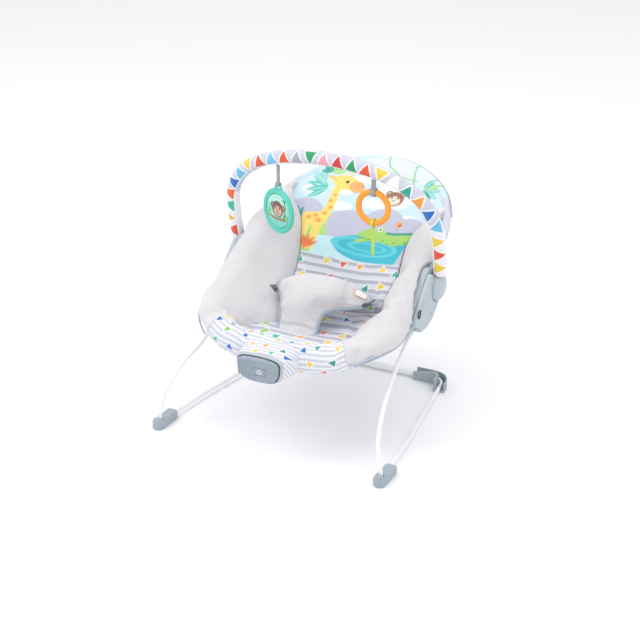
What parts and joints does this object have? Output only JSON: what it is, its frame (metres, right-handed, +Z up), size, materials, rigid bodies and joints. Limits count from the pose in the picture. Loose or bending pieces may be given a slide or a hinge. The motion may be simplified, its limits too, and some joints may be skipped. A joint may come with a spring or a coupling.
{
  "type": "baby bouncer seat",
  "caption": "Baby bouncer: spring wire floor frame, padded sling seat with side bolsters, padded toy bar with a disc and a ring, restraint pad and a vibration pod.",
  "frame": {"origin": "middle of the footprint, on the floor", "axes": "+Z up; -Y the front, where the sitter's feet are; +X to the sitter's left-hand side as seen in the seat"},
  "size_m": [0.494, 0.5788, 0.518],
  "materials": {
    "rod_paint": "white powder coat, satin",
    "tube_steel": "zinc plated",
    "grey_plastic": "moulded grey-blue plastic, fine texture",
    "foot_rubber_plastic": "soft grey overmould",
    "plush": "short-pile plush, light warm grey",
    "printed_cloth": "printed woven polyester",
    "striped_cloth": "printed woven polyester, grey and white stripes",
    "outer_cloth": "plain lavender-grey woven polyester",
    "bar_cloth": "printed padded sleeve with coloured pennants",
    "webbing": "grey woven webbing",
    "buckle_plastic": "dark moulded plastic",
    "teal_plastic": "teal moulded plastic",
    "picture_plastic": "printed mint picture disc",
    "orange_plastic": "orange moulded plastic",
    "ribbon_cloth": "yellow-green woven ribbon",
    "board": "green circuit board",
    "contact_brass": "plated brass",
    "cell_wrap": "plain shrink-wrapped cell"
  },
  "bodies": {
    "base": {"left_base_rod": "rod_paint", "left_front_foot": "foot_rubber_plastic", "left_rear_foot": "foot_rubber_plastic", "right_base_rod": "rod_paint", "right_front_foot": "foot_rubber_plastic", "right_rear_foot": "foot_rubber_plastic", "rear_cross_tube": "rod_paint"},
    "seat": {"seat_front_tube": "tube_steel", "seat_back_tube": "tube_steel", "left_leg_rod": "rod_paint", "left_hub_inner": "grey_plastic", "left_hub_cover": "grey_plastic", "left_hub_screw_1": "tube_steel", "left_hub_screw_2": "tube_steel", "left_pivot_pin": "tube_steel", "left_wing": "plush", "left_buckle_socket": "buckle_plastic", "right_leg_rod": "rod_paint", "right_hub_inner": "grey_plastic", "right_hub_cover": "grey_plastic", "right_hub_screw_1": "tube_steel", "right_hub_screw_2": "tube_steel", "right_pivot_pin": "tube_steel", "right_wing": "plush", "right_buckle_socket": "buckle_plastic", "seat_sling": "outer_cloth", "back_sling": "outer_cloth", "seat_pad": "striped_cloth", "front_lip": "striped_cloth", "back_pad": "printed_cloth", "crotch_pad": "plush", "pod_rear_housing": "grey_plastic", "battery_door": "grey_plastic", "pod_bezel": "grey_plastic", "pod_face": "grey_plastic", "battery_door_screw": "tube_steel", "motor": "tube_steel", "circuit_board": "board", "battery": "cell_wrap", "battery_contact_minus": "contact_brass", "battery_contact_plus": "contact_brass"},
    "button": {"power_button": "grey_plastic"},
    "motor_weight": {"motor_weight": "contact_brass"},
    "left_buckle": {"left_buckle_tongue": "buckle_plastic", "left_waist_strap": "webbing"},
    "right_buckle": {"right_buckle_tongue": "buckle_plastic", "right_waist_strap": "webbing"},
    "toy_bar": {"toy_bar_tube": "grey_plastic", "left_bar_socket": "grey_plastic", "right_bar_socket": "grey_plastic", "toy_bar_sleeve": "bar_cloth"},
    "disc_toy": {"disc_toy_rim": "teal_plastic", "disc_toy_picture": "picture_plastic", "disc_toy_strap": "webbing"},
    "ring_toy": {"ring_toy_ring": "orange_plastic", "ring_toy_strap": "webbing"},
    "ribbon": {"ring_toy_ribbon": "ribbon_cloth"}
  },
  "joints": [
    {"name": "seat_bounce", "type": "hinge", "parent": "base", "child": "seat", "pos_m": [0, -0.2586, 0.01], "axis": [1, 0, 0], "range_deg": [-8, 3], "stiffness_Nm_per_rad": 150, "springref_deg": 1.72},
    {"name": "toy_bar_pivot", "type": "hinge", "parent": "seat", "child": "toy_bar", "pos_m": [0, 0.0334, 0.272], "axis": [-1, 0, 0], "range_deg": [0, 25]},
    {"name": "disc_toy_swing", "type": "hinge", "parent": "toy_bar", "child": "disc_toy", "pos_m": [-0.10426, -0.01049, 0.4795], "axis": [0.9687, -0.0529, 0.2424], "range_deg": [-12, 12]},
    {"name": "ring_toy_swing", "type": "hinge", "parent": "toy_bar", "child": "ring_toy", "pos_m": [0.0971, -0.01085, 0.4812], "axis": [0.9751, 0.0455, -0.217], "range_deg": [-15, 15]},
    {"name": "ribbon_swing", "type": "hinge", "parent": "ring_toy", "child": "ribbon", "pos_m": [0.097, -0.01085, 0.3948], "axis": [1, 0, 0], "range_deg": [-12, 12]},
    {"name": "power_button_press", "type": "slide", "parent": "seat", "child": "button", "axis": [0, 1, 0], "range_m": [0, 0.0015], "stiffness_N_per_m": 400, "springref_m": -0.0005},
    {"name": "motor_spin", "type": "hinge", "parent": "seat", "child": "motor_weight", "pos_m": [0.029, -0.2486, 0.19], "axis": [1, 0, 0], "continuous": true},
    {"name": "left_buckle_release", "type": "slide", "parent": "seat", "child": "left_buckle", "axis": [-0.9397, 0, 0.342], "range_m": [0, 0.015]},
    {"name": "right_buckle_release", "type": "slide", "parent": "seat", "child": "right_buckle", "axis": [0.9397, 0, 0.342], "range_m": [0, 0.015]}
  ]
}
